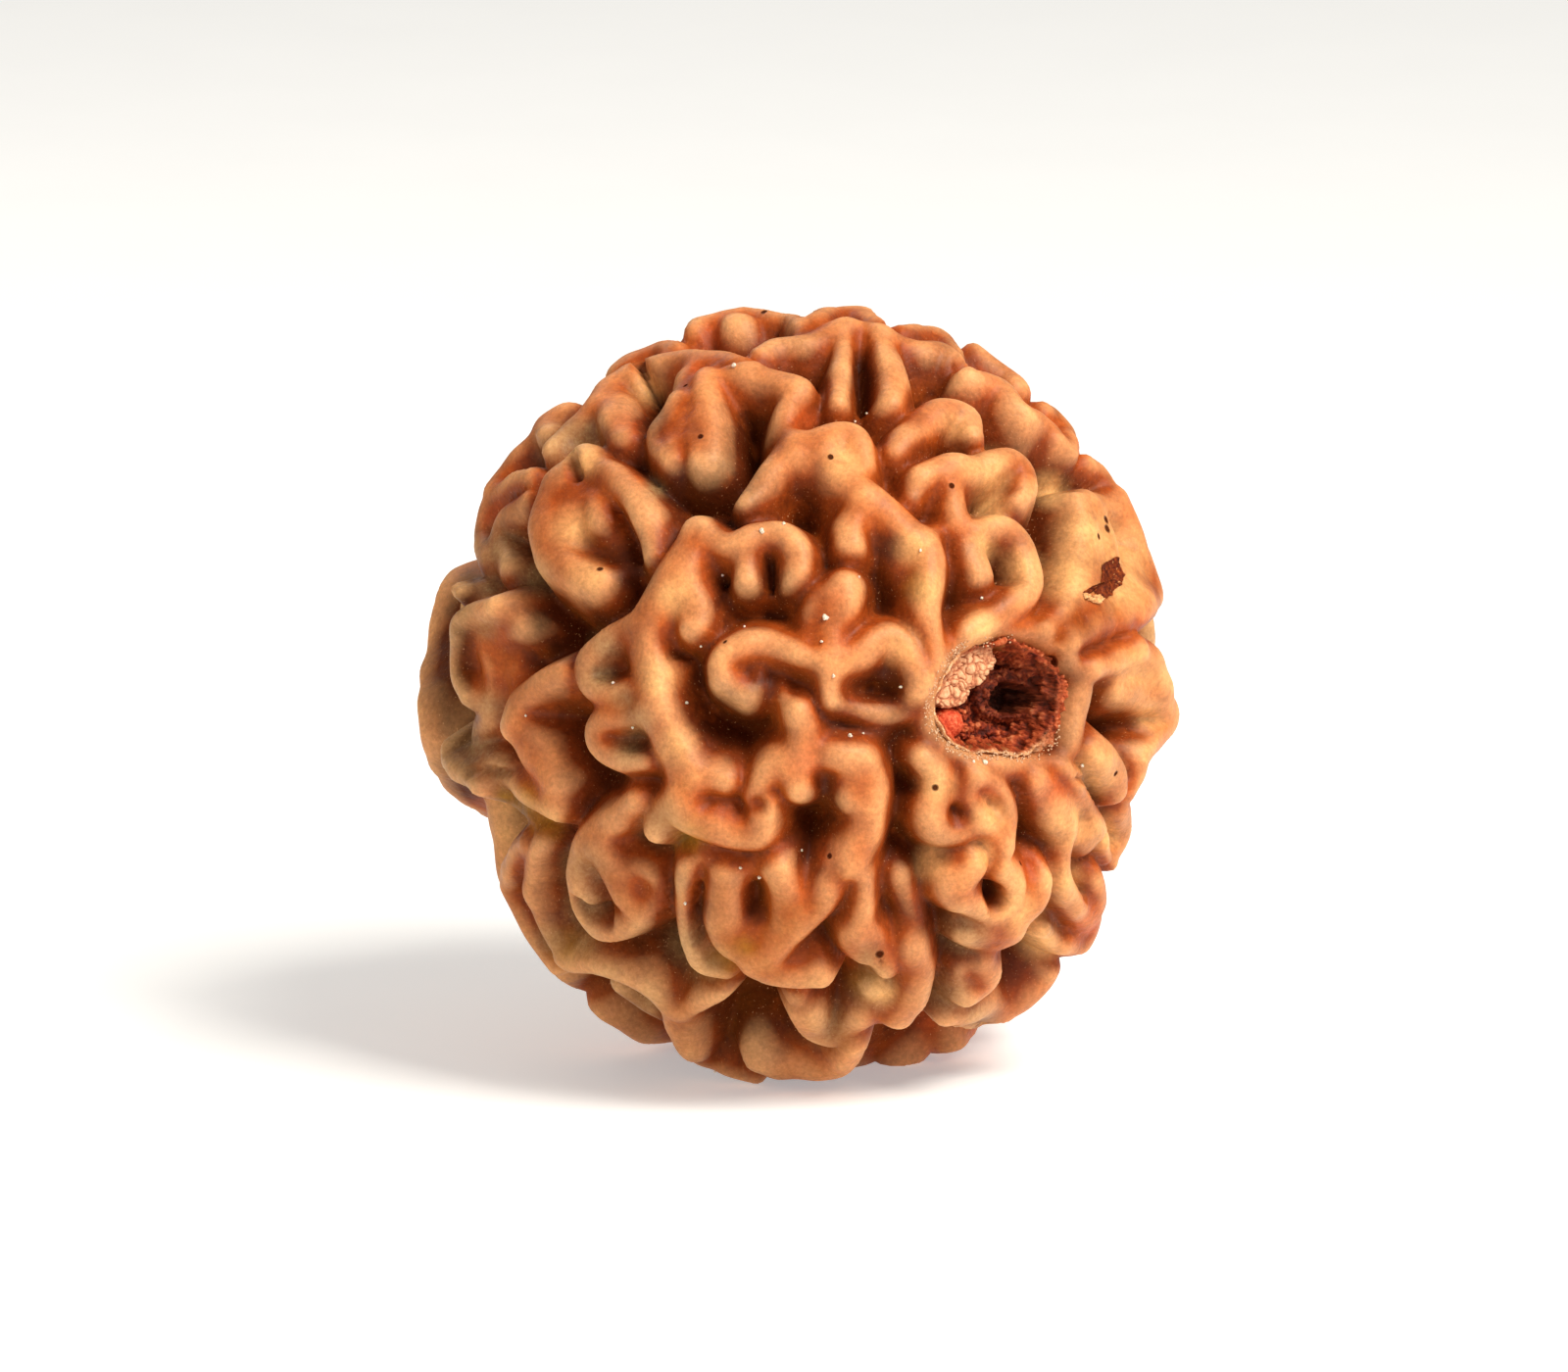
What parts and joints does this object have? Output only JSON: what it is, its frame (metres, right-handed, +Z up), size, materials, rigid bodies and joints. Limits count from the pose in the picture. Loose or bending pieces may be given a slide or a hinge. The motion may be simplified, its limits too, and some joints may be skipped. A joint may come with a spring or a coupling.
{
  "type": "ganesh rudraksha bead",
  "caption": "Dried rudraksha seed stone: an egg-round body of winding ridges and deep furrows, with an open broken mouth and a trunk-like side lump, resting on a small flat spot.",
  "frame": {"origin": "middle of the bounding box on the ground, at the flat spot that the stone rests on", "axes": "+Z up, -Y towards the side that the picture shows, +X to that side's right, with the mouth; the trunk-like lump is on -X"},
  "size_m": [0.0243, 0.0238, 0.0245],
  "materials": {
    "seed_shell": "dry, matt, woody shell: orange-tan crests, dark brown furrows, dusty grey-green film in places"
  },
  "bodies": {
    "root": {"rudraksha_bead": "seed_shell"}
  },
  "joints": []
}
